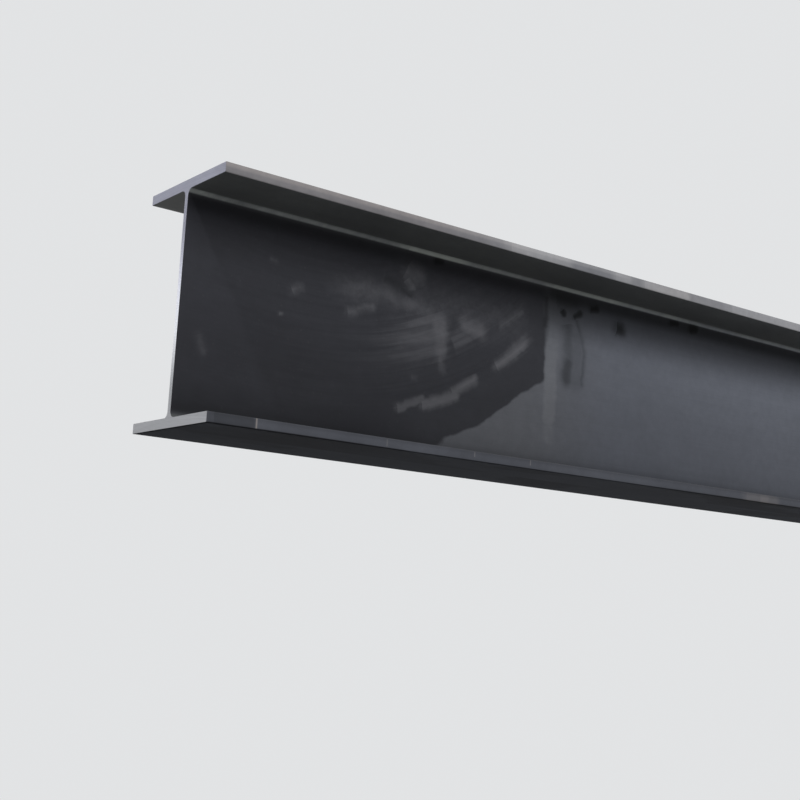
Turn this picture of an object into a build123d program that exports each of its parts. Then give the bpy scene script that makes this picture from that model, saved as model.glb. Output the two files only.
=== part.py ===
from build123d import *
import os

# A hot-rolled wide-flange steel H-beam, one straight length of mill stock.
# It lies on its lower flange: +X runs along the beam, +Y across the flanges and +Z up the web.
# The origin is under the middle of the beam, on the face that it rests on.
# All sizes are in millimetres.

# Driving dimensions of the rolled section
section_depth = 494.0
flange_width = 302.0
flange_thickness = 21.0
web_thickness = 13.0
root_radius = 13.0
toe_radius = 2.0

# Driving dimension of the sawn stock length
stock_length = 6000.0

# Two corners count as being on the same line within this distance
line_tolerance = 0.01


def corners_at(sketch, offset):
    """The section's corners that lie the given distance to either side of the web's centre line."""
    return sketch.vertices().filter_by(lambda corner: abs(abs(corner.X) - offset) < line_tolerance)


def rolled_section():
    """The H-shaped profile, standing on the lower flange, seen along the beam.

    Two level flanges are joined by an upright web. The four inner corners, where the web meets the
    flanges, carry the concave root fillets that the rolls leave, and the eight corners of the
    flange edges are slightly rounded toes.
    """
    flange_centre = section_depth / 2 - flange_thickness / 2
    clear_web_height = section_depth - 2 * flange_thickness

    with BuildSketch() as section:
        with Locations((0, section_depth / 2)):
            Rectangle(web_thickness, clear_web_height)
            with Locations((0, -flange_centre), (0, flange_centre)):
                Rectangle(flange_width, flange_thickness)
        fillet(corners_at(section, web_thickness / 2), radius=root_radius)
        fillet(corners_at(section, flange_width / 2), radius=toe_radius)
    return section.sketch


def h_beam():
    """The whole beam: the section carried straight along its length and sawn square at both ends."""
    across_the_beam = Plane(origin=(0, 0, 0), x_dir=(0, 1, 0), z_dir=(1, 0, 0))
    beam = extrude(across_the_beam * rolled_section(), amount=stock_length / 2, both=True)
    beam.label = "h_beam"
    return beam


def main():
    """Writes the beam to its file."""
    os.makedirs("parts", exist_ok=True)
    export_step(h_beam(), "parts/h_beam.step")


main()
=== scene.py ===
"""A hot-rolled steel H-beam with mill scale, saw cuts and handling marks, lying on a pale studio floor.

The beam's surface is one profile carried along its length. Its skin has a flat map in metres. U runs
along the beam from its near end. V runs round the section, from the middle of the resting face up the
front side, and on the front of the web it is the height above the floor. Every mark of the finish is
placed on that map.
"""

import math
from types import SimpleNamespace

import bpy
import numpy as np
from bpy.props import FloatProperty, FloatVectorProperty, PointerProperty
from bpy.types import Operator, Panel, PropertyGroup
from mathutils import Matrix, Vector


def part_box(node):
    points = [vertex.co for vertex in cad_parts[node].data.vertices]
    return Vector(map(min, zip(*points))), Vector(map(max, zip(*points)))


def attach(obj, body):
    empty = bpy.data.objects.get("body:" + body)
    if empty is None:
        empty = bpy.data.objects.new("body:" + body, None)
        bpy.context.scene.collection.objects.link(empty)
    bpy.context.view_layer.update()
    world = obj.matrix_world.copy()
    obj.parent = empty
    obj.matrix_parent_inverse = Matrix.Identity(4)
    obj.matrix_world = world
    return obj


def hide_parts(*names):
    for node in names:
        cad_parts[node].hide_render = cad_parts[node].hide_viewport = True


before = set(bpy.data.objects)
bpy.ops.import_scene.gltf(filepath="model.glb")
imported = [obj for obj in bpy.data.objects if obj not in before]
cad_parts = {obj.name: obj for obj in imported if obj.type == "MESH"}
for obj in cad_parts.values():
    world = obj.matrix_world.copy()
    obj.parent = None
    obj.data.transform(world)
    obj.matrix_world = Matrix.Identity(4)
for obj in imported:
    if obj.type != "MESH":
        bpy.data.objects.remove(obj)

bl_info = {
    "name": "Steel H-beam",
    "version": (1, 0, 0),
    "blender": (4, 5, 0),
    "location": "View3D > Sidebar > H-beam",
    "description": "Builds a rolled steel H-beam with mill scale and saw cuts, and the studio round it",
    "category": "Add Mesh",
}

BEAM_NODE = "h_beam"
BEAM_BODY = "root"
BEAM_LOW, BEAM_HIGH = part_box(BEAM_NODE)

SKIN_MAP = "skin_map"
# The sawn ends lie on the same map, this far along it, clear of the skin
SAW_MAP_START = 20.0


# The settings that a user would change


def number_setting(name, description, default, unit="NONE"):
    """A number, plain or in a unit that Blender knows."""
    return FloatProperty(name=name, description=description, default=default, unit=unit)


def length_setting(name, description, default):
    """A length in metres."""
    return number_setting(name, description, default, unit="LENGTH")


def angle_setting(name, description, degrees):
    """An angle, stated in degrees and kept in radians."""
    return number_setting(name, description, math.radians(degrees), unit="ROTATION")


def colour_setting(name, description, default):
    """A colour in linear light."""
    return FloatVectorProperty(name=name, description=description, default=default, subtype="COLOR")


class SectionSizes(PropertyGroup):
    """The rolled section's sizes and the grid that its surface is worked out on."""

    length: length_setting("Length", "Sawn length of the beam", BEAM_HIGH.x - BEAM_LOW.x)
    depth: length_setting("Depth", "Height over both flanges", BEAM_HIGH.z - BEAM_LOW.z)
    width: length_setting("Flange width", "Width of a flange", BEAM_HIGH.y - BEAM_LOW.y)
    flange: length_setting("Flange thickness", "Thickness of a flange", 0.021)
    web: length_setting("Web thickness", "Thickness of the web", 0.013)
    root: length_setting("Root radius", "Fillet between web and flange", 0.013)
    toe: length_setting("Toe radius", "Rounding of the flange edges", 0.002)
    saw_break: length_setting("Saw edge break", "Bevel where the saw cut meets the skin", 0.0006)
    ripple: length_setting("Ripple", "Height of the slow waves left by the rolls", 0.0003)
    station_gap: length_setting("Station gap", "Grid spacing along the beam", 0.025)
    skin_gap: length_setting("Skin gap", "Grid spacing round the section's flats", 0.018)


class SteelColours(PropertyGroup):
    """Colours of the beam's surface."""

    bare_scale: colour_setting("Bare scale", "Dark oily mill scale", (0.0196, 0.0202, 0.0253))
    dusty_scale: colour_setting("Dusty scale", "Dry blue-grey mill scale", (0.092, 0.099, 0.119))
    plain_scale: colour_setting("Plain scale", "Grey scale by the oily patch", (0.0945, 0.0988, 0.1115))
    flange_scale: colour_setting("Flange scale", "Scale inside the flanges", (0.074, 0.078, 0.078))
    rubbed_scale: colour_setting("Rubbed scale", "Scale rubbed lighter", (0.092, 0.093, 0.103))
    pale_streak: colour_setting("Pale streak", "Dried run of water on the scale", (0.122, 0.127, 0.142))
    wet_mark: colour_setting("Wet mark", "Damp or oily spots", (0.003, 0.004, 0.005))
    # The rubbed edges' colours also carry the painted highlight along the top of the upper edge
    worn_edge: colour_setting("Worn edge", "Rubbed flange edges", (0.27, 0.27, 0.28))
    warm_edge: colour_setting("Warm edge", "Rubbed edges with a trace of rust", (0.264, 0.243, 0.238))
    # Paler scale in the root fillets, with a painted highlight
    root_scale_and_highlight: colour_setting("Root scale", "Lighter scale in the root fillets", (0.205, 0.220, 0.210))
    dust: colour_setting("Dust", "Brown-grey dust on faces that look up", (0.086, 0.084, 0.082))
    grit: colour_setting("Grit", "Pale grains and pinholes in the scale", (0.17, 0.165, 0.155))
    sawn_steel: colour_setting("Sawn steel", "Bright sawn metal", (0.372, 0.377, 0.397))
    sawn_top: colour_setting("Sawn top", "Bluer sawn metal of the upper flange", (0.289, 0.294, 0.365))


class StudioSizes(PropertyGroup):
    """The camera's place, the floor and the lamps."""

    eye: FloatVectorProperty(
        name="Camera place", description="Where the camera stands", subtype="XYZ",
        default=(-4.106, -2.1995, -0.3108)
    )
    heading: angle_setting("Heading", "Camera's turn from +X towards +Y", 53.043)
    pitch: angle_setting("Pitch", "How far the camera looks up", 9.132)
    roll: angle_setting("Roll", "How far the camera's right side is raised", 3.074)
    lens: number_setting("Lens", "Focal length in mm on the sensor", 57.77, unit="CAMERA")
    sensor: number_setting("Sensor", "Sensor width in mm", 36.0, unit="CAMERA")
    floor_colour: colour_setting("Floor", "Plain pale floor", (0.55, 0.55, 0.545))
    backdrop_colour: colour_setting("Backdrop", "Pale ground past the floor", (0.76, 0.77, 0.78))
    sky_light: number_setting("Sky light", "Soft light from all round", 0.30)
    roof_lamp: number_setting("Roof lamp", "Strength of the light from above", 1.8)
    front_lamp: number_setting("Front lamp", "Strength of the light in front", 2.1)
    back_lamp: number_setting("Back lamp", "Strength of the light behind", 1.5)


# Helpers that build node trees


def add(tree, kind, **settings):
    """Adds a node of that kind and sets its named settings."""
    made = tree.nodes.new(kind)
    for name, value in settings.items():
        setattr(made, name, value)
    return made


def feed(tree, socket, value):
    """Joins a socket to another node's output, or sets it where the value is a constant."""
    if isinstance(value, bpy.types.NodeSocket):
        tree.links.new(value, socket)
    else:
        socket.default_value = value


def calc(tree, operation, *values):
    """One step of arithmetic."""
    made = add(tree, "ShaderNodeMath", operation=operation)
    for socket, value in zip(made.inputs, values):
        feed(tree, socket, value)
    return made.outputs["Value"]


def held(tree, value):
    """The value held between 0 and 1.

    It takes two steps in place of a node's own clamp. With such clamps, a tree this long needs more room
    for its values than the renderer has, and the beam turns black.
    """
    return calc(tree, "MINIMUM", calc(tree, "MAXIMUM", value, 0.0), 1.0)


def vector_calc(tree, operation, *values):
    """One step of vector arithmetic, which gives a number for a length, distance or dot product."""
    made = add(tree, "ShaderNodeVectorMath", operation=operation)
    for socket, value in zip(made.inputs, values):
        feed(tree, socket, value)
    return made.outputs["Value" if operation in {"LENGTH", "DISTANCE", "DOT_PRODUCT"} else "Vector"]


def product(tree, first, *others):
    """Several values multiplied together."""
    for other in others:
        first = calc(tree, "MULTIPLY", first, other)
    return first


def left_over(tree, share):
    """What a share leaves of 1."""
    return calc(tree, "SUBTRACT", 1.0, share)


def split(tree, vector):
    """The parts of a vector, by the names X, Y and Z."""
    made = add(tree, "ShaderNodeSeparateXYZ")
    feed(tree, made.inputs[0], vector)
    return made.outputs


def stretch(tree, vector, scale):
    """The vector with each part multiplied by its own factor."""
    return vector_calc(tree, "MULTIPLY", vector, scale)


def ramp(tree, value, start, end, low=0.0, high=1.0):
    """A smooth step from low to high as the value goes from start to end, which may run downwards."""
    made = add(tree, "ShaderNodeMapRange", interpolation_type="SMOOTHSTEP", clamp=False)
    limits = (("From Min", start), ("From Max", end), ("To Min", low), ("To Max", high))
    for name, number in (("Value", value), *limits):
        feed(tree, made.inputs[name], number)
    return made.outputs["Result"]


def noise(tree, vector, scale=1.0, detail=2.0, roughness=0.5, distortion=0.0, output="Fac"):
    """Smooth noise from 0 to 1."""
    made = add(tree, "ShaderNodeTexNoise")
    shape = (("Scale", scale), ("Detail", detail), ("Roughness", roughness), ("Distortion", distortion))
    for name, number in shape:
        feed(tree, made.inputs[name], number)
    feed(tree, made.inputs["Vector"], vector)
    return made.outputs[output]


# A mix node repeats its sockets' names for each kind of value, so they are told apart by number
MIX_SHARE = 0
MIX_NUMBERS, MIXED_NUMBER = (2, 3), 0
MIX_COLOURS, MIXED_COLOUR = (6, 7), 2


def tint(tree, share, under, over, kind="MIX"):
    """Lays one colour over another by a share from 0 to 1."""
    made = add(tree, "ShaderNodeMix", data_type="RGBA", blend_type=kind)
    for number, value in zip((MIX_SHARE, *MIX_COLOURS), (share, under, over)):
        feed(tree, made.inputs[number], value)
    return made.outputs[MIXED_COLOUR]


def between(tree, share, low, high):
    """A number between two others by a share from 0 to 1."""
    made = add(tree, "ShaderNodeMix", data_type="FLOAT")
    for number, value in zip((MIX_SHARE, *MIX_NUMBERS), (share, low, high)):
        feed(tree, made.inputs[number], value)
    return made.outputs[MIXED_NUMBER]


def rgba(colour):
    """A colour of the settings in the form that a shader socket takes."""
    return (*colour, 1.0)


def new_material(name):
    """A new material with its node tree and its surface shader."""
    material = bpy.data.materials.new(name)
    material.use_nodes = True
    return material, material.node_tree, material.node_tree.nodes["Principled BSDF"]


def bump(tree, shader, height, distance, strength):
    """Tilts the shader's normal by a height pattern."""
    made = add(tree, "ShaderNodeBump")
    made.inputs["Distance"].default_value = distance
    made.inputs["Strength"].default_value = strength
    feed(tree, made.inputs["Height"], height)
    feed(tree, shader.inputs["Normal"], made.outputs["Normal"])


NUMBER = "NodeSocketFloat"
POINT = "NodeSocketVector"
PLACE = ("Place", POINT, (0, 0, 0))


def new_group(name, *inputs):
    """An empty shader group that puts out one mask, its inputs being (name, kind, default)."""
    tree = bpy.data.node_groups.new(name, "ShaderNodeTree")
    for label, kind, default in inputs:
        socket = tree.interface.new_socket(label, in_out="INPUT", socket_type=kind)
        socket.default_value = default
    tree.interface.new_socket("Mask", in_out="OUTPUT", socket_type=NUMBER)
    given = tree.nodes.new("NodeGroupInput").outputs
    return tree, given, tree.nodes.new("NodeGroupOutput").inputs["Mask"]


def use(tree, group, **values):
    """Places a group in a tree with its own values; a word's underscores stand for spaces."""
    made = add(tree, "ShaderNodeGroup", node_tree=group)
    for name, value in values.items():
        feed(tree, made.inputs[name.replace("_", " ")], value)
    return made.outputs[0]


# Effects that the finishes share


def make_stroke_group():
    """Soft mask of one round-ended stroke from Start to End.

    With t the place's share of the way from Start to End, held between 0 and 1, d is the distance from
    the place to Start + t (End - Start). The mask falls from 1 to 0 where d passes Half Width, over
    Feather each way, and it fades in over the first Fade of t.
    """
    tree, given, mask = new_group(
        "stroke", PLACE, ("Start", POINT, (0, 0, 0)), ("End", POINT, (1, 0, 0)),
        ("Half Width", NUMBER, 0.01), ("Feather", NUMBER, 0.004), ("Fade", NUMBER, 0.0)
    )
    way = vector_calc(tree, "SUBTRACT", given["End"], given["Start"])
    gone = vector_calc(tree, "SUBTRACT", given["Place"], given["Start"])
    share = held(tree, calc(tree, "DIVIDE", vector_calc(tree, "DOT_PRODUCT", gone, way),
                            vector_calc(tree, "DOT_PRODUCT", way, way)))
    nearest = add(tree, "ShaderNodeVectorMath", operation="SCALE")
    feed(tree, nearest.inputs[0], way)
    feed(tree, nearest.inputs["Scale"], share)
    distance = vector_calc(tree, "DISTANCE", gone, nearest.outputs[0])
    outer = calc(tree, "ADD", given["Half Width"], given["Feather"])
    inner = calc(tree, "SUBTRACT", given["Half Width"], given["Feather"])
    shortest_fade = 0.001
    fade_end = calc(tree, "ADD", given["Fade"], shortest_fade)
    feed(tree, mask, product(tree, ramp(tree, distance, outer, inner),
                             ramp(tree, share, -shortest_fade, fade_end)))
    return tree


def make_breakup_group():
    """Breaks a soft mask up by a grain from 0 to 1: the mask times a smooth step of Mask + Grain.

    Where the mask is strong it stays whole, and where it is faint only the grain's high parts show.
    """
    tree, given, mask = new_group("breakup", ("Mask", NUMBER, 0.5), ("Grain", NUMBER, 0.5))
    kept = ramp(tree, calc(tree, "ADD", given["Mask"], given["Grain"]), 0.30, 1.20)
    feed(tree, mask, product(tree, given["Mask"], kept))
    return tree


def make_rolling_group():
    """Fine lines along the beam: noise drawn out along U, from coarse bands to hairlines."""
    tree, given, mask = new_group("rolling_lines", PLACE)
    bands = noise(tree, stretch(tree, given["Place"], (0.5, 14.0, 1.0)))
    hairs = noise(tree, stretch(tree, given["Place"], (2.2, 210.0, 1.0)), detail=3.0, roughness=0.6)
    feed(tree, mask, between(tree, 0.45, bands, hairs))
    return tree


def make_mottle_group():
    """Cloudy blotches of thicker and thinner scale: broad clouds with finer ones inside."""
    tree, given, mask = new_group("scale_mottle", PLACE, ("Size", NUMBER, 0.3))
    scale = calc(tree, "DIVIDE", 1.0, given["Size"])
    feed(tree, mask, noise(tree, given["Place"], scale, detail=7.0, roughness=0.62, distortion=0.35))
    return tree


def make_fleck_group():
    """Sparse pinholes and specks: a round dot in each of a chosen share of small cells."""
    tree, given, mask = new_group(
        "scale_flecks", PLACE, ("Size", NUMBER, 0.004), ("Amount", NUMBER, 0.3)
    )
    cells = add(tree, "ShaderNodeTexVoronoi", feature="F1")
    dot_share = 0.35
    scale = calc(tree, "DIVIDE", dot_share, given["Size"])
    feed(tree, cells.inputs["Vector"], given["Place"])
    feed(tree, cells.inputs["Scale"], scale)
    parts = add(tree, "ShaderNodeSeparateColor")
    feed(tree, parts.inputs[0], cells.outputs["Color"])
    chosen = ramp(tree, parts.outputs[0], left_over(tree, given["Amount"]), 1.0)
    dot = ramp(tree, cells.outputs["Distance"], 0.32, 0.12)
    feed(tree, mask, product(tree, chosen, dot))
    return tree


def make_saw_group():
    """Saw lines across the cut: noise drawn out sideways and bowed.

    The noise is read at the height plus the bow times the square of the distance sideways.
    """
    tree, given, mask = new_group("saw_lines", PLACE)
    spot = split(tree, given["Place"])
    bow, along_lines, across_lines = 0.35, 3.0, 420.0
    rise = product(tree, calc(tree, "POWER", spot["X"], 2.0), bow)
    bowed = calc(tree, "ADD", spot["Y"], rise)
    bent = add(tree, "ShaderNodeCombineXYZ")
    feed(tree, bent.inputs["X"], product(tree, spot["X"], along_lines))
    feed(tree, bent.inputs["Y"], product(tree, bowed, across_lines))
    feed(tree, mask, noise(tree, bent.outputs[0], detail=3.0, roughness=0.65))
    return tree


# The beam's surface


def straight(start, end, gap):
    """Evenly spaced points from start up to but not including end."""
    start, end = np.array(start), np.array(end)
    count = max(1, round(float(np.linalg.norm(end - start)) / gap))
    share = np.arange(count)[:, None] / count
    return start + (end - start) * share


def arc(centre, radius, first, last, count):
    """Points on a circle from the first angle up to but not including the last, in degrees."""
    angle = np.radians(first + (last - first) * np.arange(count) / count)
    return np.array(centre) + radius * np.stack([np.cos(angle), np.sin(angle)], axis=1)


def front_half_outline(sizes):
    """The front half of the H outline as (y, z) points, from the middle of the resting face to the top.

    Each flat is a straight run, each toe a quarter circle that bulges out, and each root a quarter
    circle that hollows in.
    """
    toe, root, depth, gap = sizes.toe, sizes.root, sizes.depth, sizes.skin_gap
    edge, face = -sizes.width / 2, -sizes.web / 2
    toe_y, root_y = edge + toe, face - root
    under, over = sizes.flange, depth - sizes.flange
    edge_gap = gap / 3
    toe_steps, root_steps = 4, 8
    return np.concatenate([
        straight((0, 0), (toe_y, 0), gap),
        arc((toe_y, toe), toe, -90, -180, toe_steps),
        straight((edge, toe), (edge, under - toe), edge_gap),
        arc((toe_y, under - toe), toe, 180, 90, toe_steps),
        straight((toe_y, under), (root_y, under), gap),
        arc((root_y, under + root), root, -90, 0, root_steps),
        straight((face, under + root), (face, over - root), gap),
        arc((root_y, over - root), root, 0, 90, root_steps),
        straight((root_y, over), (toe_y, over), gap),
        arc((toe_y, over + toe), toe, -90, -180, toe_steps),
        straight((edge, over + toe), (edge, depth - toe), edge_gap),
        arc((toe_y, depth - toe), toe, 180, 90, toe_steps),
        straight((toe_y, depth), (0, depth), gap),
    ])


def outline(sizes):
    """The closed H outline: the front half, and its mirror image from the top back to its start."""
    front = front_half_outline(sizes)
    top = np.array([[0.0, sizes.depth]])
    back = front[:0:-1] * (-1, 1)
    return np.concatenate([front, top, back])


def outline_frame(points, sizes):
    """Map height at each outline point, and the outward normal from its two neighbours.

    The map height is the distance walked round the outline, shifted so that on the front of the web it
    is the height above the floor.
    """
    ahead, behind = np.roll(points, -1, axis=0), np.roll(points, 1, axis=0)
    walked = np.concatenate([[0], np.cumsum(np.linalg.norm(ahead - points, axis=1))])
    web_foot = (-sizes.web / 2, sizes.flange + sizes.root)
    web_start = np.argmin(np.abs(points - web_foot).sum(axis=1))
    tangent = ahead - behind
    normal = np.stack([-tangent[:, 1], tangent[:, 0]], axis=1)
    height = walked - walked[web_start] + web_foot[1]
    return height, normal / np.linalg.norm(normal, axis=1)[:, None]


def ripple(along, height, depth, seed=7):
    """Slow waves of the rolled skin, from 0 down to minus depth: a sum of sines of both directions."""
    draw = np.random.default_rng(seed)
    total = np.zeros((len(along), len(height) - 1))
    turn = height[None, :-1] / (height[-1] - height[0])
    lengths = (2.3, 1.3, 0.8, 0.45)
    for wave in lengths:
        rounds = draw.integers(1, 6)
        phase = draw.uniform(0, math.tau)
        share = wave / sum(lengths)
        total += share * np.sin(math.tau * (along[:, None] / wave + rounds * turn) + phase)
    return depth * (total - 1) / 2


def beam_mesh(sizes):
    """The beam's skin and saw cuts as one closed mesh.

    A point of the skin is (x, y, z) = (station, outline point + outward normal * offset). The offset is
    the ripple, less the saw break at the two end stations, which bevels the edge of each cut. A second
    station close beside each bevel keeps the bevel's tilt out of the skin's smooth shading.
    """
    points = outline(sizes)
    height, normal = outline_frame(points, sizes)
    around = len(points)
    half, count = sizes.length / 2, round(sizes.length / sizes.station_gap)
    beside = sizes.saw_break * 2
    inside = np.linspace(beside - half, half - beside, count + 1)
    ends = [-half, sizes.saw_break - half]
    stations = np.concatenate([ends, inside, [-ends[1], -ends[0]]])
    offset = ripple(stations, height, sizes.ripple)
    offset[0] -= sizes.saw_break
    offset[-1] -= sizes.saw_break

    verts = np.empty((len(stations), around, 3))
    verts[..., 0] = stations[:, None]
    verts[..., 1:] = points[None] + normal[None] * offset[..., None]

    row, column = np.meshgrid(np.arange(len(stations) - 1), np.arange(around), indexing="ij")
    corner_row = np.stack([row, row + 1, row + 1, row], axis=-1).reshape(-1, 4)
    corner_column = np.stack([column, column, column + 1, column + 1], axis=-1).reshape(-1, 4)
    quads = corner_row * around + corner_column % around
    near_cut = np.arange(around)
    far_cut = near_cut[::-1] + (len(stations) - 1) * around

    faces = quads.tolist() + [near_cut.tolist(), far_cut.tolist()]
    mesh = bpy.data.meshes.new("h_beam_skin")
    mesh.from_pydata(verts.reshape(-1, 3).tolist(), [], faces)

    # The bevels and the cuts are flat, and the cuts have the saw's finish
    cuts = 2
    smooth = np.ones(len(mesh.polygons), bool)
    smooth[:around] = smooth[-around - cuts:] = False
    mesh.polygons.foreach_set("use_smooth", smooth)
    surface = np.zeros(len(mesh.polygons), np.int32)
    surface[-cuts:] = 1
    mesh.polygons.foreach_set("material_index", surface)

    along = stations[corner_row] + half
    skin_map = np.stack([along, height[corner_column]], axis=-1).reshape(-1, 2)
    saw_map = verts.reshape(-1, 3)[np.concatenate([near_cut, far_cut])][:, 1:] + (SAW_MAP_START, 0)
    layer = mesh.uv_layers.new(name=SKIN_MAP)
    layer.data.foreach_set("uv", np.concatenate([skin_map, saw_map]).astype(np.float32).ravel())

    if mesh.validate():
        raise RuntimeError("Blender had to mend the beam's surface")
    return mesh


# The finishes

# A cloth was once swept over the front of the web, in arcs about this place on the map and this far out
WIPE_CENTRE = (0.297, 1.06)
WIPE_REACH = 0.96
# The dark oily scale reaches this far from that place, and this far along the beam
OILY_REACH = 1.066
OILY_END = 0.970

# Strokes: start along and up, end along and up, half width and feather in metres, then fade and strength

# Marks swept in arcs
SWEPT_STROKES = (
    (0.536, 0.112, 0.554, 0.118, 0.0110, 0.007, 0.00, 0.74),
    (0.556, 0.122, 0.606, 0.140, 0.0092, 0.007, 0.00, 0.70),
    (0.606, 0.127, 0.698, 0.162, 0.0118, 0.009, 0.00, 0.90),
    (0.690, 0.168, 0.752, 0.206, 0.0098, 0.011, 0.00, 0.92),
    (0.816, 0.248, 0.880, 0.295, 0.0120, 0.013, 0.00, 0.98),
    (0.932, 0.345, 0.862, 0.284, 0.0115, 0.013, 0.60, 0.95),
    (0.812, 0.335, 0.888, 0.391, 0.0065, 0.009, 0.20, 0.46),
    (0.400, 0.208, 0.650, 0.262, 0.0220, 0.026, 0.95, 0.50),
    (0.380, 0.240, 0.650, 0.300, 0.0250, 0.028, 0.95, 0.70),
    (0.470, 0.285, 0.650, 0.328, 0.0150, 0.022, 0.80, 0.64),
    (0.686, 0.328, 0.764, 0.321, 0.0160, 0.026, 0.40, 0.84),
    (0.676, 0.276, 0.726, 0.304, 0.0170, 0.026, 0.20, 0.54),
)
# Rubs and soft haze
RUBBED_STROKES = (
    (0.640, 0.322, 0.647, 0.302, 0.0195, 0.012, 0.00, 0.62),
    (0.649, 0.292, 0.651, 0.258, 0.0160, 0.012, 0.00, 0.54),
    (0.651, 0.250, 0.656, 0.212, 0.0100, 0.010, 0.00, 0.50),
    (0.480, 0.360, 0.860, 0.360, 0.0450, 0.045, 0.00, 0.26),
    (0.310, 0.350, 0.500, 0.357, 0.0240, 0.028, 0.60, 0.50),
    (0.545, 0.424, 0.572, 0.412, 0.0240, 0.020, 0.00, 0.62),
    (0.548, 0.400, 0.560, 0.388, 0.0110, 0.012, 0.00, 0.80),
    (0.500, 0.353, 0.612, 0.341, 0.0180, 0.016, 0.00, 0.50),
    (0.392, 0.300, 0.410, 0.302, 0.0085, 0.015, 0.00, 0.70),
    (0.408, 0.306, 0.440, 0.316, 0.0090, 0.015, 0.00, 0.50),
    (0.438, 0.316, 0.456, 0.322, 0.0085, 0.015, 0.00, 0.66),
    (0.252, 0.318, 0.270, 0.328, 0.0070, 0.014, 0.00, 0.62),
    (0.224, 0.264, 0.228, 0.265, 0.0050, 0.005, 0.00, 0.60),
    (0.045, 0.190, 0.058, 0.160, 0.0100, 0.013, 0.00, 0.30),
    (0.570, 0.184, 0.582, 0.185, 0.0070, 0.008, 0.00, 0.34),
    (0.195, 0.375, 0.210, 0.370, 0.0050, 0.007, 0.00, 0.26),
)
# The dried run beside the oily patch
PALE_STROKES = (
    (0.990, 0.400, 0.988, 0.150, 0.0200, 0.007, 0.60, 0.84),
    (0.988, 0.150, 0.989, 0.100, 0.0160, 0.010, 0.00, 0.50),
)
# Damp spots
WET_STROKES = (
    (1.018, 0.418, 1.026, 0.410, 0.0090, 0.008, 0.00, 0.84),
    (1.060, 0.406, 1.082, 0.420, 0.0080, 0.008, 0.00, 0.84),
    (1.116, 0.437, 1.138, 0.443, 0.0090, 0.008, 0.00, 0.80),
    (1.210, 0.407, 1.226, 0.404, 0.0180, 0.015, 0.00, 0.84),
    (1.048, 0.322, 1.042, 0.252, 0.0190, 0.018, 0.40, 0.60),
    (1.040, 0.384, 1.050, 0.290, 0.0200, 0.020, 0.00, 0.44),
    (1.062, 0.390, 1.068, 0.262, 0.0340, 0.014, 0.20, 0.30),
    (1.072, 0.400, 1.100, 0.325, 0.0080, 0.010, 0.00, 0.40),
    (1.100, 0.322, 1.092, 0.245, 0.0080, 0.010, 0.00, 0.44),
    (0.968, 0.440, 0.966, 0.372, 0.0090, 0.010, 0.00, 0.50),
    (1.000, 0.440, 1.060, 0.440, 0.0220, 0.022, 0.00, 0.40),
    (0.484, 0.390, 0.530, 0.381, 0.0110, 0.012, 0.00, 0.40),
    (0.530, 0.377, 0.560, 0.367, 0.0060, 0.007, 0.00, 0.46),
    (0.682, 0.346, 0.680, 0.300, 0.0050, 0.015, 0.00, 0.30),
    (1.410, 0.456, 1.436, 0.457, 0.0090, 0.006, 0.00, 0.80),
    (1.486, 0.453, 1.508, 0.455, 0.0130, 0.008, 0.00, 0.85),
    (0.622, 0.457, 0.641, 0.458, 0.0090, 0.006, 0.00, 0.80),
)
# Heights on the map of the middle of the upper flange's edge, of the lower one's, and of the upper root
UPPER_EDGE = 0.6216
LOWER_EDGE = -0.128
UPPER_ROOT = 0.470
# Rubs along the upper flange's edge, then nicks and rubs on the lower one's
EDGE_STROKES = (
    (0.720, UPPER_EDGE, 0.885, UPPER_EDGE, 0.0200, 0.018, 0.00, 0.34),
    (1.052, UPPER_EDGE, 1.094, UPPER_EDGE, 0.0120, 0.010, 0.00, 0.30),
    (1.152, UPPER_EDGE, 1.304, UPPER_EDGE, 0.0120, 0.010, 0.00, 0.34),
    (1.480, UPPER_EDGE, 1.750, UPPER_EDGE, 0.0240, 0.022, 0.00, 0.19),
    (0.105, -0.1360, 0.105, -0.1190, 0.0016, 0.0012, 0.00, 0.98),
    (0.409, -0.1340, 0.409, -0.1210, 0.0010, 0.0010, 0.00, 0.36),
    (0.640, -0.1290, 0.640, -0.1200, 0.0010, 0.0010, 0.00, 0.52),
    (0.800, -0.1300, 0.800, -0.1200, 0.0010, 0.0010, 0.00, 0.52),
    (1.600, -0.1300, 1.628, -0.1300, 0.0140, 0.014, 0.00, 0.38),
    (1.545, -0.1310, 1.660, -0.1310, 0.0160, 0.014, 0.00, 0.24),
)
# Brighter lengths of the root line under the upper flange, paler scale with a painted highlight
ROOT_STROKES = (
    (0.545, UPPER_ROOT, 0.680, UPPER_ROOT, 0.0260, 0.022, 0.00, 0.92),
    (0.985, UPPER_ROOT, 1.200, UPPER_ROOT, 0.0240, 0.020, 0.00, 0.36),
    (0.000, UPPER_ROOT, 0.030, UPPER_ROOT, 0.0240, 0.020, 0.00, 0.20),
    (1.230, UPPER_ROOT, 1.420, UPPER_ROOT, 0.0240, 0.024, 0.00, 0.16),
)


def swept(along, up):
    """A place on the map as (arc, radius) about the wipe's centre, the arc being taken at its reach."""
    aside, down = along - WIPE_CENTRE[0], WIPE_CENTRE[1] - up
    return math.atan2(aside, down) * WIPE_REACH, math.hypot(aside, down)


def swept_place(tree, place):
    """The node form of swept: every place on the map as (arc, radius, 0)."""
    from_centre = vector_calc(tree, "SUBTRACT", place, (*WIPE_CENTRE, 0.0))
    parts = split(tree, from_centre)
    down = product(tree, parts["Y"], -1.0)
    turned = add(tree, "ShaderNodeCombineXYZ")
    feed(tree, turned.inputs["X"], product(tree, calc(tree, "ARCTAN2", parts["X"], down), WIPE_REACH))
    feed(tree, turned.inputs["Y"], vector_calc(tree, "LENGTH", from_centre))
    return turned.outputs[0]


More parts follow.
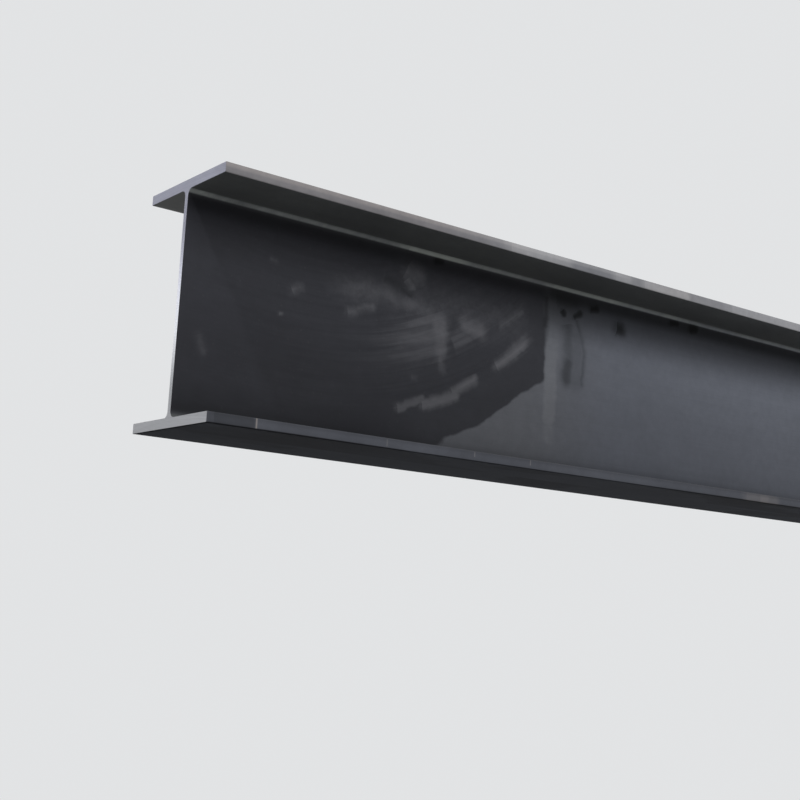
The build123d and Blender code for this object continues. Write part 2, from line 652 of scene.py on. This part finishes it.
def stroke_marks(tree, stroke, place, strokes, turn=None):
    """The strongest of several strokes at each place. A turn, if given, takes their ends to its map."""
    marks = None
    for along, up, end_along, end_up, half_width, feather, fade, strength in strokes:
        start, end = (along, up), (end_along, end_up)
        if turn:
            start, end = turn(*start), turn(*end)
        mask = use(tree, stroke, Place=place, Start=(*start, 0), End=(*end, 0), Half_Width=half_width,
                   Feather=feather, Fade=fade)
        weighed = product(tree, mask, strength)
        marks = weighed if marks is None else calc(tree, "MAXIMUM", marks, weighed)
    return marks


def shifted(tree, place, amount, scale, detail):
    """The place moved about by noise, by up to half the amount each way."""
    drawn = noise(tree, place, scale, detail, output="Color")
    moved = vector_calc(tree, "SUBTRACT", drawn, (0.5, 0.5, 0.5))
    return vector_calc(tree, "ADD", place, stretch(tree, moved, (amount, amount, 0.0)))


def grey_tint(tree, colour, factor):
    """The colour made lighter or darker by a factor."""
    grey = add(tree, "ShaderNodeCombineColor")
    for axis in range(3):
        feed(tree, grey.inputs[axis], factor)
    return tint(tree, 1.0, colour, grey.outputs[0], kind="MULTIPLY")


def skin_parts(tree, sizes):
    """Each point's place on the map and its height, and soft masks of the section's parts.

    The masks read the height, the distance aside from the web's middle and the way the surface faces,
    so one mask serves both flanges, or both sides of the web. Most fade within millimetres of the size
    that bounds them.
    """
    half_web, half_width, half_depth = sizes.web / 2, sizes.width / 2, sizes.depth / 2
    inner_face = half_depth - sizes.flange
    place = add(tree, "ShaderNodeUVMap", uv_map=SKIN_MAP).outputs["UV"]
    on_map = split(tree, place)
    solid = split(tree, add(tree, "ShaderNodeTexCoord").outputs["Object"])
    level = solid["Z"]
    aside = calc(tree, "ABSOLUTE", solid["Y"])
    from_middle = calc(tree, "ABSOLUTE", calc(tree, "SUBTRACT", level, half_depth))
    normal = split(tree, add(tree, "ShaderNodeNewGeometry").outputs["Normal"])
    web = product(tree, ramp(tree, aside, half_web + 0.0135, half_web + 0.0035),
                  ramp(tree, from_middle, inner_face + 0.0030, inner_face + 0.0010))
    root = product(tree, ramp(tree, aside, half_web + 0.0003, half_web + 0.0025),
                   ramp(tree, aside, half_web + 0.0130, half_web + 0.0085),
                   ramp(tree, from_middle, inner_face + 0.0015, inner_face + 0.0002))
    outside = ramp(tree, from_middle, half_depth - 0.0030, half_depth - 0.0010)
    toe = ramp(tree, aside, half_width - 0.0018, half_width - 0.0008)
    not_inside = calc(tree, "MAXIMUM", calc(tree, "MAXIMUM", web, outside), toe)
    return SimpleNamespace(
        place=place, along=on_map["X"], round_up=on_map["Y"], level=level, from_middle=from_middle,
        looks_up=ramp(tree, normal["Z"], 0.3, 0.9),
        upper=ramp(tree, level, half_depth - 0.007, half_depth + 0.013),
        resting=ramp(tree, level, 0.0016, 0.0004),
        web=web, root=root, outside=outside, toe=toe, flange_inside=left_over(tree, not_inside),
    )


def skin_grain(tree, at, groups):
    """The noises that break the finish up, from 0 to 1, and the map with its places moved by noise."""
    along_arcs = stretch(tree, swept_place(tree, at.place), (4.0, 95.0, 0.0))
    streaks = noise(tree, along_arcs, detail=3.0, roughness=0.55, distortion=0.3)
    blots = ramp(tree, noise(tree, at.place, scale=45.0, detail=5.0, roughness=0.65), 0.2, 0.8)
    return SimpleNamespace(
        ragged=shifted(tree, at.place, amount=0.030, scale=14.0, detail=5.0),
        frayed=shifted(tree, at.place, amount=0.016, scale=32.0, detail=4.0),
        clouds=use(tree, groups["mottle"], Place=at.place, Size=0.35),
        fine_clouds=use(tree, groups["mottle"], Place=at.place, Size=0.05),
        lines=use(tree, groups["rolling"], Place=at.place),
        streaks=ramp(tree, streaks, 0.25, 0.75),
        blots=blots,
        soft_blots=between(tree, blots, 0.45, 0.85),
    )


def dustiness(tree, at, grain):
    """How dry and dusty the scale is, from 0 where it is dark and oily to 1 where it is blue-grey.

    The oily patch at the near end of the web's front is bounded by an arc about the wipe's centre and by
    a line across the beam. "past" is the distance beyond that boundary, and it is negative inside. The
    rest of the skin has patches where a noise is high.
    """
    # The arc bulges at the beam's end and at the foot of the web, and is dented beside the line across
    end_bulge = ramp(tree, at.along, 0.45, 0.10, high=0.08)
    foot_bulge = ramp(tree, at.level, 0.070, 0.030, high=0.013)
    dent = product(tree, ramp(tree, at.along, 0.76, 0.87), ramp(tree, at.along, 0.97, 0.90), 0.013)
    reach = calc(tree, "ADD", calc(tree, "ADD", end_bulge, OILY_REACH), foot_bulge)
    reach = calc(tree, "SUBTRACT", reach, dent)
    past_arc = calc(tree, "SUBTRACT", split(tree, swept_place(tree, grain.ragged))["Y"], reach)
    past_line = calc(tree, "SUBTRACT", split(tree, grain.ragged)["X"], OILY_END)
    corner_rounding = 0.03
    past = calc(tree, "SMOOTH_MAX", past_arc, past_line, corner_rounding)
    softness = ramp(tree, at.level, 0.24, 0.42, low=0.004, high=0.016)
    near_patch = ramp(tree, past, softness, product(tree, softness, -1.0))

    # Each other patch starts with a crisp step and darkens softly towards its middle
    lengthened = stretch(tree, grain.ragged, (0.9, 2.4, 1.0))
    spread = noise(tree, lengthened, detail=6.0, roughness=0.52, distortion=0.5)
    patches = calc(tree, "ADD", product(tree, ramp(tree, spread, 0.532, 0.560), 0.46),
                   product(tree, ramp(tree, spread, 0.56, 0.68), 0.36))
    front_web = product(tree, ramp(tree, at.round_up, 0.02, 0.04), ramp(tree, at.round_up, 0.475, 0.455))
    elsewhere = left_over(tree, product(tree, front_web, ramp(tree, at.along, 2.6, 2.1)))
    on_web = left_over(tree, between(tree, elsewhere, near_patch, patches))
    on_flanges = product(tree, between(tree, grain.clouds, 0.50, 1.0),
                         left_over(tree, product(tree, patches, at.outside)))
    dusty = between(tree, at.web, on_flanges, on_web)

    # The wipe left faint streaks inside the patch and a faint rim along its edge
    inside = product(tree, ramp(tree, past, -0.05, -0.14), ramp(tree, at.along, 0.0, 0.45, low=0.25))
    rim = product(tree, ramp(tree, past, -0.12, -0.07), ramp(tree, at.along, 0.45, 0.65, high=0.10))
    smeared = calc(tree, "ADD", rim, product(tree, inside, between(tree, grain.streaks, 0.04, 0.10)))
    smeared = product(tree, smeared, front_web, near_patch)
    return held(tree, calc(tree, "ADD", dusty, smeared))


def frayed_marks(tree, grain, groups, strokes):
    """Strokes with frayed sides, broken up by the blots."""
    marks = stroke_marks(tree, groups["stroke"], grain.frayed, strokes)
    return use(tree, groups["breakup"], Mask=marks, Grain=grain.soft_blots)


def web_marks(tree, colour, colours, at, grain, groups):
    """Lays the swept, rubbed, pale and wet marks of the web over the colour."""
    arcs = swept_place(tree, grain.frayed)
    broken_by = between(tree, grain.streaks, 0.35, 0.88)
    swept_marks = stroke_marks(tree, groups["stroke"], arcs, SWEPT_STROKES, turn=swept)
    swept_marks = use(tree, groups["breakup"], Mask=swept_marks, Grain=broken_by)
    swept_marks = product(tree, swept_marks, between(tree, grain.streaks, 0.78, 1.05))
    rubbed_marks = frayed_marks(tree, grain, groups, RUBBED_STROKES)
    smoke = noise(tree, at.place, scale=26.0, detail=4.0, roughness=0.6)
    rubbed_marks = product(tree, rubbed_marks, ramp(tree, smoke, 0.3, 0.7, low=0.55, high=1.1))
    pale_marks = frayed_marks(tree, grain, groups, PALE_STROKES)
    wet_marks = frayed_marks(tree, grain, groups, WET_STROKES)
    colour = tint(tree, swept_marks, colour, rgba(colours.rubbed_scale))
    colour = tint(tree, rubbed_marks, colour, rgba(colours.rubbed_scale))
    colour = tint(tree, pale_marks, colour, rgba(colours.pale_streak))
    return tint(tree, wet_marks, colour, rgba(colours.wet_mark))


def edge_wear_and_highlight(tree, colour, colours, at, grain, groups):
    """Lays the rubbed steel of the flange edges over the colour.

    It is bright on the upper edge and faint on the lower. Along the upper edge's first metre a painted
    highlight runs along its top, with a little painted shade on its lower part.
    """
    edge_marks = stroke_marks(tree, groups["stroke"], at.place, EDGE_STROKES)
    # Painted highlight along the top of the upper edge, and a little painted shade on its lower part
    top = ramp(tree, at.round_up, UPPER_EDGE - 0.0016, UPPER_EDGE + 0.0044, low=-0.09, high=0.20)
    painted_edge_light = product(tree, top, ramp(tree, at.along, 1.15, 1.02))
    worn = product(tree, at.toe, between(tree, at.upper, 0.02, calc(tree, "ADD", painted_edge_light, 0.48)))
    uneven = calc(tree, "ADD", between(tree, grain.clouds, 0.70, 1.10),
                  between(tree, grain.blots, 0.03, 0.17))
    worn = held(tree, calc(tree, "ADD", product(tree, worn, uneven), product(tree, edge_marks, at.toe)))
    warm = calc(tree, "MAXIMUM", ramp(tree, at.along, 0.85, 0.45),
                ramp(tree, noise(tree, at.place, scale=0.9), 0.5, 0.62))
    return tint(tree, worn, colour, tint(tree, warm, rgba(colours.worn_edge), rgba(colours.warm_edge)))


def root_lines_and_highlight(tree, colour, colours, at, grain, groups):
    """Lays paler scale with a painted highlight over the colour in the root fillets, stronger in places.
    """
    root_marks = stroke_marks(tree, groups["stroke"], at.place, ROOT_STROKES)
    drift = ramp(tree, noise(tree, at.place, scale=6.0, detail=3.0), 0.35, 0.62, low=0.75, high=1.1)
    share = product(tree, between(tree, grain.blots, 0.27, 0.54), drift)
    share = held(tree, product(tree, at.root, calc(tree, "ADD", share, root_marks)))
    return tint(tree, share, colour, rgba(colours.root_scale_and_highlight))


def settled_dust(tree, colour, colours, at, grain, groups):
    """Lays dust over the faces that look up, and grit over them and a little of it elsewhere."""
    lengthened = stretch(tree, at.place, (1.0, 4.0, 1.0))
    drift = noise(tree, lengthened, scale=3.0, detail=6.0, roughness=0.65, distortion=0.6)
    dust = product(tree, at.looks_up, between(tree, ramp(tree, drift, 0.35, 0.68), 0.15, 0.85),
                   between(tree, grain.fine_clouds, 0.6, 1.2))
    colour = tint(tree, dust, colour, rgba(colours.dust))
    flecks = use(tree, groups["fleck"], Place=at.place, Size=0.0035, Amount=0.35)
    share = product(tree, flecks, between(tree, at.looks_up, 0.03, 0.45))
    return tint(tree, share, colour, rgba(colours.grit))


def painted_shade_and_grime(tree, at, grain, dusty, groups):
    """The factor by which painted shade and grime darken the skin.

    Painted shade darkens the web close under the upper flange and towards its foot, and the face that
    the beam lies on. The skin is also darker on the lower edge, most of all at its near end, and on the
    underside of the upper flange near the near end. It is lighter towards the far end of the web, and it
    varies a little everywhere with the noises.
    """
    # Painted shade under the upper flange: a wide band down the web, and a close one under the root that
    # also holds a dark line of grime
    under_roof = product(tree, at.web, at.upper, left_over(tree, at.root))
    wide_painted_shade = product(tree, under_roof, between(tree, dusty, 0.10, 1.0),
                        ramp(tree, at.from_middle, 0.08, 0.18))
    close_shade_and_grime = product(tree, under_roof, between(tree, dusty, 0.72, 1.0),
                         ramp(tree, at.from_middle, 0.175, 0.205))
    shade = product(tree, between(tree, wide_painted_shade, 1.0, 0.42), between(tree, close_shade_and_grime, 1.0, 0.35))
    # Painted shade down the web: it falls in three steps, each from one height to a lower one and by its
    # own factor
    for high, low, factor in ((0.32, 0.15, 0.81), (0.12, 0.02, 0.66), (0.060, 0.044, 0.82)):
        below = product(tree, at.web, ramp(tree, at.level, high, low))
        shade = product(tree, shade, between(tree, below, 1.0, factor))
    shade = product(tree, shade, ramp(tree, at.along, 1.0, 1.9, low=0.95, high=1.06))

    lower_toe = product(tree, at.toe, left_over(tree, at.upper))
    toe_shade = ramp(tree, at.level, 0.011, 0.019, low=0.66, high=0.54)
    # Darker near the near end of the lower edge
    dark_lower_end = use(tree, groups["stroke"], Place=at.place, Start=(0.015, LOWER_EDGE, 0),
                    End=(0.088, LOWER_EDGE, 0), Half_Width=0.015, Feather=0.006)
    roof_end = product(tree, at.flange_inside, at.upper, ramp(tree, at.along, 0.20, 0.02))
    # The last of these factors is painted shade on the face that the beam lies on
    shade = product(tree, shade, between(tree, lower_toe, 1.0, toe_shade),
                    between(tree, dark_lower_end, 1.0, 0.61),
                    between(tree, roof_end, 1.0, 0.74), between(tree, at.resting, 1.0, 0.36))
    return product(tree, shade, between(tree, grain.lines, 0.84, 1.16),
                   between(tree, grain.blots, 0.95, 1.05), between(tree, grain.fine_clouds, 0.88, 1.12),
                   between(tree, grain.clouds, 0.85, 1.15))


def skin_material(colours, sizes, groups):
    """Mill scale, dark and oily or dry and blue-grey, with its marks, worn edges, dust and grime.

    Its colour also holds painted shade and painted highlights.
    """
    material, tree, shader = new_material("mill_scale")
    at = skin_parts(tree, sizes)
    grain = skin_grain(tree, at, groups)
    dusty = dustiness(tree, at, grain)
    greyer = product(tree, at.web, ramp(tree, at.along, 1.25, 0.85))
    dry = tint(tree, greyer, rgba(colours.dusty_scale), rgba(colours.plain_scale))
    dry = tint(tree, at.flange_inside, dry, rgba(colours.flange_scale))
    colour = tint(tree, dusty, rgba(colours.bare_scale), dry)
    colour = web_marks(tree, colour, colours, at, grain, groups)
    colour = edge_wear_and_highlight(tree, colour, colours, at, grain, groups)
    colour = root_lines_and_highlight(tree, colour, colours, at, grain, groups)
    colour = settled_dust(tree, colour, colours, at, grain, groups)
    shade = painted_shade_and_grime(tree, at, grain, dusty, groups)
    feed(tree, shader.inputs["Base Color"], grey_tint(tree, colour, shade))

    dull = between(tree, dusty, 0.46, 0.56)
    rough = calc(tree, "ADD", dull, between(tree, grain.fine_clouds, -0.05, 0.05))
    feed(tree, shader.inputs["Roughness"], between(tree, at.resting, rough, 1.0))
    shader.inputs["Specular IOR Level"].default_value = 0.09
    relief = calc(tree, "ADD", product(tree, grain.lines, 0.5), grain.fine_clouds)
    bump(tree, shader, relief, distance=0.0004, strength=0.4)
    return material


def saw_material(colours, groups):
    """Bright sawn steel with fine saw lines, brightest half way up the web and bluer at the top."""
    material, tree, shader = new_material("sawn_steel")
    on_map = add(tree, "ShaderNodeUVMap", uv_map=SKIN_MAP).outputs["UV"]
    place = vector_calc(tree, "SUBTRACT", on_map, (SAW_MAP_START, 0, 0))
    level = split(tree, place)["Y"]
    lines = use(tree, groups["saw"], Place=place)
    clouds = use(tree, groups["mottle"], Place=place, Size=0.12)
    brightest = 0.235
    middle = ramp(tree, calc(tree, "ABSOLUTE", calc(tree, "SUBTRACT", level, brightest)), 0.17, 0.02)
    tone = product(tree, between(tree, lines, 0.72, 1.28), between(tree, clouds, 0.85, 1.15),
                   between(tree, middle, 1.0, 2.5))
    metal = tint(tree, ramp(tree, level, 0.15, 0.45), rgba(colours.sawn_steel), rgba(colours.sawn_top))
    feed(tree, shader.inputs["Base Color"], grey_tint(tree, metal, tone))
    feed(tree, shader.inputs["Roughness"], between(tree, lines, 0.34, 0.5))
    shader.inputs["Metallic"].default_value = 0.75
    bump(tree, shader, lines, distance=0.0003, strength=0.6)
    return material


# The studio


def link(item):
    """Puts a new object in the scene."""
    bpy.context.scene.collection.objects.link(item)
    return item


def floor(stage):
    """A wide level floor just under the beam, as eight panels round an opening that the beam covers.

    A camera that stands lower sees through it, and the opening lets light reach the face that the beam
    lies on.
    """
    reach, drop, covered = 60.0, 0.0004, 0.006
    xs = (-reach, BEAM_LOW.x + covered, BEAM_HIGH.x - covered, reach)
    ys = (-reach, BEAM_LOW.y + covered, BEAM_HIGH.y - covered, reach)
    verts = [(x, y, -drop) for y in ys for x in xs]
    across = len(xs)
    corners = [across * row + column for row in range(across - 1) for column in range(across - 1)]
    opening = across + 1
    panels = [(low, low + 1, low + across + 1, low + across) for low in corners if low != opening]
    mesh = bpy.data.meshes.new("studio_floor")
    mesh.from_pydata(verts, [], panels)
    material, tree, shader = new_material("pale_floor")
    shader.inputs["Base Color"].default_value = rgba(stage.floor_colour)
    shader.inputs["Roughness"].default_value = 0.9
    shader.inputs["Specular IOR Level"].default_value = 0.1
    below = add(tree, "ShaderNodeNewGeometry").outputs["Backfacing"]
    seen = add(tree, "ShaderNodeLightPath").outputs["Is Camera Ray"]
    mix = add(tree, "ShaderNodeMixShader")
    feed(tree, mix.inputs[0], product(tree, below, seen))
    feed(tree, mix.inputs[1], shader.outputs[0])
    feed(tree, mix.inputs[2], add(tree, "ShaderNodeBsdfTransparent").outputs[0])
    feed(tree, tree.nodes["Material Output"].inputs["Surface"], mix.outputs[0])
    mesh.materials.append(material)
    item = link(bpy.data.objects.new("studio_floor", mesh))


def sky(stage):
    """Soft light from all round, and a pale backdrop for what looks past the floor or is mirrored."""
    world = bpy.data.worlds.new("studio_sky")
    bpy.context.scene.world = world
    world.use_nodes = True
    tree = world.node_tree
    background = tree.nodes["Background"]
    ray = add(tree, "ShaderNodeLightPath")
    seen = calc(tree, "MAXIMUM", ray.outputs["Is Camera Ray"],
                calc(tree, "MAXIMUM", ray.outputs["Is Glossy Ray"], ray.outputs["Is Transmission Ray"]))
    white = rgba((1.0, 1.0, 1.0))
    feed(tree, background.inputs["Color"], tint(tree, seen, white, rgba(stage.backdrop_colour)))
    feed(tree, background.inputs["Strength"], between(tree, seen, stage.sky_light, 1.0))


# Each lamp's name, the side that it shines from and its spread in degrees; its strength is a setting
LAMPS = (
    ("roof_lamp", (-0.575, -0.345, 1.0), 4),
    ("front_lamp", (0.05, -1.0, 0.60), 36),
    ("back_lamp", (0.15, 1.0, 0.60), 36),
)
# A sun's light is the same from any distance
LAMP_DISTANCE = 4.0


def lamp(name, side, spread, strength):
    """Even light from far off on that side, as soft as its spread, so the floor has no bright pool."""
    light = bpy.data.lights.new(name, "SUN")
    light.angle = math.radians(spread)
    light.energy = strength
    item = link(bpy.data.objects.new(name, light))
    item.location = Vector(side) * LAMP_DISTANCE
    item.rotation_mode = "QUATERNION"
    item.rotation_quaternion = Vector(side).to_track_quat("Z", "Y")


def camera(stage):
    """The camera at the photograph's viewing angle."""
    heading, pitch, roll = stage.heading, stage.pitch, stage.roll
    ahead = Vector((math.cos(pitch) * math.cos(heading), math.cos(pitch) * math.sin(heading),
                    math.sin(pitch)))
    level_right = ahead.cross(Vector((0, 0, 1))).normalized()
    level_up = level_right.cross(ahead)
    right = level_right * math.cos(roll) + level_up * math.sin(roll)
    up = right.cross(ahead)
    data = bpy.data.cameras.new("photo_camera")
    data.lens = stage.lens
    data.sensor_width = stage.sensor
    item = link(bpy.data.objects.new("photo_camera", data))
    turn = Matrix((right, up, -ahead)).transposed().to_4x4()
    item.matrix_world = Matrix.Translation(stage.eye) @ turn
    bpy.context.scene.camera = item


# Operators, the panel and the run


class BEAM_OT_rolled_beam(Operator):
    """Build the rolled H-beam with its finish"""

    bl_idname = "beam.rolled_beam"
    bl_label = "Rolled H-beam"

    def execute(self, context):
        groups = {
            "stroke": make_stroke_group(),
            "breakup": make_breakup_group(),
            "rolling": make_rolling_group(),
            "mottle": make_mottle_group(),
            "fleck": make_fleck_group(),
            "saw": make_saw_group(),
        }
        section, colours = context.scene.beam_section, context.scene.beam_colours
        mesh = beam_mesh(section)
        mesh.materials.append(skin_material(colours, section, groups))
        mesh.materials.append(saw_material(colours, groups))
        beam = link(bpy.data.objects.new("h_beam_rolled", mesh))
        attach(beam, BEAM_BODY)
        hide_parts(BEAM_NODE)
        return {"FINISHED"}


class BEAM_OT_studio(Operator):
    """Set up the floor, the soft light and the camera"""

    bl_idname = "beam.studio"
    bl_label = "Studio"

    def execute(self, context):
        stage = context.scene.beam_studio
        floor(stage)
        sky(stage)
        for name, side, spread in LAMPS:
            lamp(name, side, spread, getattr(stage, name))
        camera(stage)
        context.scene.view_settings.view_transform = "Standard"
        return {"FINISHED"}


class BEAM_PT_sidebar(Panel):
    """Sidebar list of the beam's pieces and their sizes"""

    bl_idname = "BEAM_PT_sidebar"
    bl_label = "Steel H-beam"
    bl_space_type = "VIEW_3D"
    bl_region_type = "UI"
    bl_category = "H-beam"

    def draw(self, context):
        for operator in (BEAM_OT_rolled_beam, BEAM_OT_studio):
            self.layout.operator(operator.bl_idname)
        for group in (context.scene.beam_section, context.scene.beam_colours, context.scene.beam_studio):
            for name in type(group).__annotations__:
                self.layout.prop(group, name)


CLASSES = (
    SectionSizes, SteelColours, StudioSizes, BEAM_OT_rolled_beam, BEAM_OT_studio, BEAM_PT_sidebar,
)


def register():
    """Adds the sizes, operators and panel to Blender."""
    for item in CLASSES:
        bpy.utils.register_class(item)
    bpy.types.Scene.beam_section = PointerProperty(type=SectionSizes)
    bpy.types.Scene.beam_colours = PointerProperty(type=SteelColours)
    bpy.types.Scene.beam_studio = PointerProperty(type=StudioSizes)


def unregister():
    """Takes the sizes, operators and panel away again."""
    for name in ("beam_section", "beam_colours", "beam_studio"):
        delattr(bpy.types.Scene, name)
    for item in reversed(CLASSES):
        bpy.utils.unregister_class(item)


def main():
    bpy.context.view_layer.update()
    register()
    bpy.ops.beam.rolled_beam()
    bpy.ops.beam.studio()
    bpy.context.view_layer.update()


if __name__ == "__main__":
    main()
